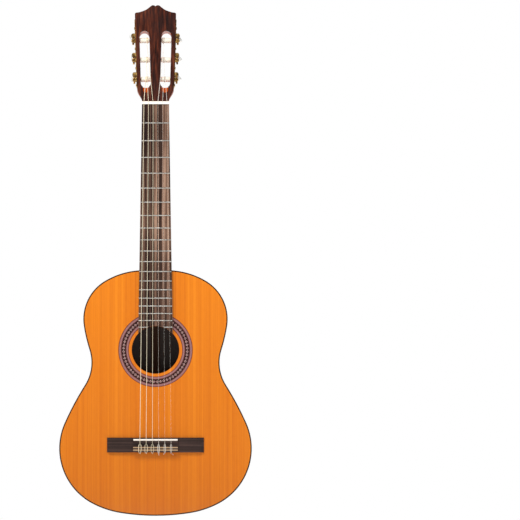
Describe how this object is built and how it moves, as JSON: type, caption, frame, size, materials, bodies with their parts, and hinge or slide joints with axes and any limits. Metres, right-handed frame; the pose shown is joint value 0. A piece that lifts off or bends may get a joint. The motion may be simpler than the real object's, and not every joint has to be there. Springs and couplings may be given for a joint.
{
  "type": "classical guitar",
  "caption": "Upright nylon-string guitar with a hollow wooden body, mosaic rosette, slotted headstock, tie-block bridge and worm-geared tuners that turn.",
  "frame": {"origin": "below the middle of the guitar's depth and width, level with the tail of the body", "axes": "+Z from tail to headstock; -Y out of the soundboard, +Y out of the back; +X to the treble side, to the right when the soundboard is seen from the front"},
  "size_m": [0.3738, 0.1135, 0.9913],
  "materials": {
    "cedar_top": "gloss lacquer",
    "mahogany_back": "gloss lacquer",
    "mahogany_side": "gloss lacquer",
    "neck_wood": "gloss lacquer",
    "dark_binding": "gloss lacquer",
    "light_line": "gloss lacquer",
    "lining_wood": "raw",
    "brace_wood": "raw",
    "back_brace_wood": "raw",
    "dark_rosewood": "gloss lacquer",
    "fingerboard_rosewood": "oiled",
    "bridge_rosewood": "oiled",
    "rosette_band": "gloss lacquer",
    "rosette_mosaic": "gloss lacquer",
    "fret_metal": "polished",
    "bone": "polished",
    "gold_metal": "polished",
    "pearl": "pearl",
    "ivory_plastic": "satin",
    "clear_nylon": "clear",
    "wound_silver": "wound"
  },
  "bodies": {
    "root": {"back_binding": "dark_binding", "back_braces": "back_brace_wood", "back_centre_line": "light_line", "back_centre_strip": "dark_binding", "back_left": "mahogany_back", "back_lining": "lining_wood", "back_right": "mahogany_back", "bridge": "bridge_rosewood", "fingerboard": "fingerboard_rosewood", "frets": "fret_metal", "headstock_veneer": "dark_rosewood", "heel_cap": "dark_rosewood", "heel_cap_line": "light_line", "neck": "neck_wood", "nut": "bone", "rosette_bands": "rosette_band", "rosette_lines": "dark_binding", "rosette_mosaic": "rosette_mosaic", "saddle": "bone", "side_left": "mahogany_side", "side_right": "mahogany_side", "soundboard": "cedar_top", "soundboard_braces": "brace_wood", "string_1": "clear_nylon", "string_2": "clear_nylon", "string_3": "clear_nylon", "string_4": "wound_silver", "string_5": "wound_silver", "string_6": "wound_silver", "tail_block": "lining_wood", "tie_block_inlays": "bone", "top_binding": "dark_binding", "top_lining": "lining_wood", "tuner_plate_left": "gold_metal", "tuner_plate_right": "gold_metal", "tuner_plate_screws": "gold_metal"},
    "tuner_1_button": {"tuner_worm_1": "gold_metal", "tuner_button_1": "pearl"},
    "tuner_1_roller": {"tuner_gear_1": "gold_metal", "string_roller_1": "ivory_plastic"},
    "tuner_2_button": {"tuner_worm_2": "gold_metal", "tuner_button_2": "pearl"},
    "tuner_2_roller": {"tuner_gear_2": "gold_metal", "string_roller_2": "ivory_plastic"},
    "tuner_3_button": {"tuner_worm_3": "gold_metal", "tuner_button_3": "pearl"},
    "tuner_3_roller": {"tuner_gear_3": "gold_metal", "string_roller_3": "ivory_plastic"},
    "tuner_4_button": {"tuner_worm_4": "gold_metal", "tuner_button_4": "pearl"},
    "tuner_4_roller": {"tuner_gear_4": "gold_metal", "string_roller_4": "ivory_plastic"},
    "tuner_5_button": {"tuner_worm_5": "gold_metal", "tuner_button_5": "pearl"},
    "tuner_5_roller": {"tuner_gear_5": "gold_metal", "string_roller_5": "ivory_plastic"},
    "tuner_6_button": {"tuner_worm_6": "gold_metal", "tuner_button_6": "pearl"},
    "tuner_6_roller": {"tuner_gear_6": "gold_metal", "string_roller_6": "ivory_plastic"}
  },
  "joints": [
    {"name": "button_1_turn", "type": "hinge", "parent": "root", "child": "tuner_1_button", "pos_m": [0.04138, -0.01984, 0.85621], "axis": [0, -0.9659, 0.2588], "continuous": true},
    {"name": "roller_1_turn", "type": "hinge", "parent": "root", "child": "tuner_1_roller", "pos_m": [0.03608, -0.02238, 0.84675], "axis": [0.9995, -0.0079, -0.0293], "continuous": true},
    {"name": "button_2_turn", "type": "hinge", "parent": "root", "child": "tuner_2_button", "pos_m": [0.04256, -0.00975, 0.89387], "axis": [0, -0.9659, 0.2588], "continuous": true},
    {"name": "roller_2_turn", "type": "hinge", "parent": "root", "child": "tuner_2_roller", "pos_m": [0.03726, -0.01229, 0.88441], "axis": [0.9995, -0.0079, -0.0293], "continuous": true},
    {"name": "button_3_turn", "type": "hinge", "parent": "root", "child": "tuner_3_button", "pos_m": [0.04374, 0.00033, 0.93152], "axis": [0, -0.9659, 0.2588], "continuous": true},
    {"name": "roller_3_turn", "type": "hinge", "parent": "root", "child": "tuner_3_roller", "pos_m": [0.03844, -0.0022, 0.92206], "axis": [0.9995, -0.0079, -0.0293], "continuous": true},
    {"name": "button_4_turn", "type": "hinge", "parent": "root", "child": "tuner_4_button", "pos_m": [-0.04374, 0.00033, 0.93152], "axis": [0, -0.9659, 0.2588], "continuous": true},
    {"name": "roller_4_turn", "type": "hinge", "parent": "root", "child": "tuner_4_roller", "pos_m": [-0.03844, -0.0022, 0.92206], "axis": [-0.9995, -0.0079, -0.0293], "continuous": true},
    {"name": "button_5_turn", "type": "hinge", "parent": "root", "child": "tuner_5_button", "pos_m": [-0.04256, -0.00975, 0.89387], "axis": [0, -0.9659, 0.2588], "continuous": true},
    {"name": "roller_5_turn", "type": "hinge", "parent": "root", "child": "tuner_5_roller", "pos_m": [-0.03726, -0.01229, 0.88441], "axis": [-0.9995, -0.0079, -0.0293], "continuous": true},
    {"name": "button_6_turn", "type": "hinge", "parent": "root", "child": "tuner_6_button", "pos_m": [-0.04138, -0.01984, 0.85621], "axis": [0, -0.9659, 0.2588], "continuous": true},
    {"name": "roller_6_turn", "type": "hinge", "parent": "root", "child": "tuner_6_roller", "pos_m": [-0.03608, -0.02238, 0.84675], "axis": [-0.9995, -0.0079, -0.0293], "continuous": true}
  ],
  "couplings": [
    {"joint": "roller_1_turn", "follows": "button_1_turn", "ratio": -0.0625},
    {"joint": "roller_2_turn", "follows": "button_2_turn", "ratio": -0.0625},
    {"joint": "roller_3_turn", "follows": "button_3_turn", "ratio": -0.0625},
    {"joint": "roller_4_turn", "follows": "button_4_turn", "ratio": -0.0625},
    {"joint": "roller_5_turn", "follows": "button_5_turn", "ratio": -0.0625},
    {"joint": "roller_6_turn", "follows": "button_6_turn", "ratio": -0.0625}
  ]
}
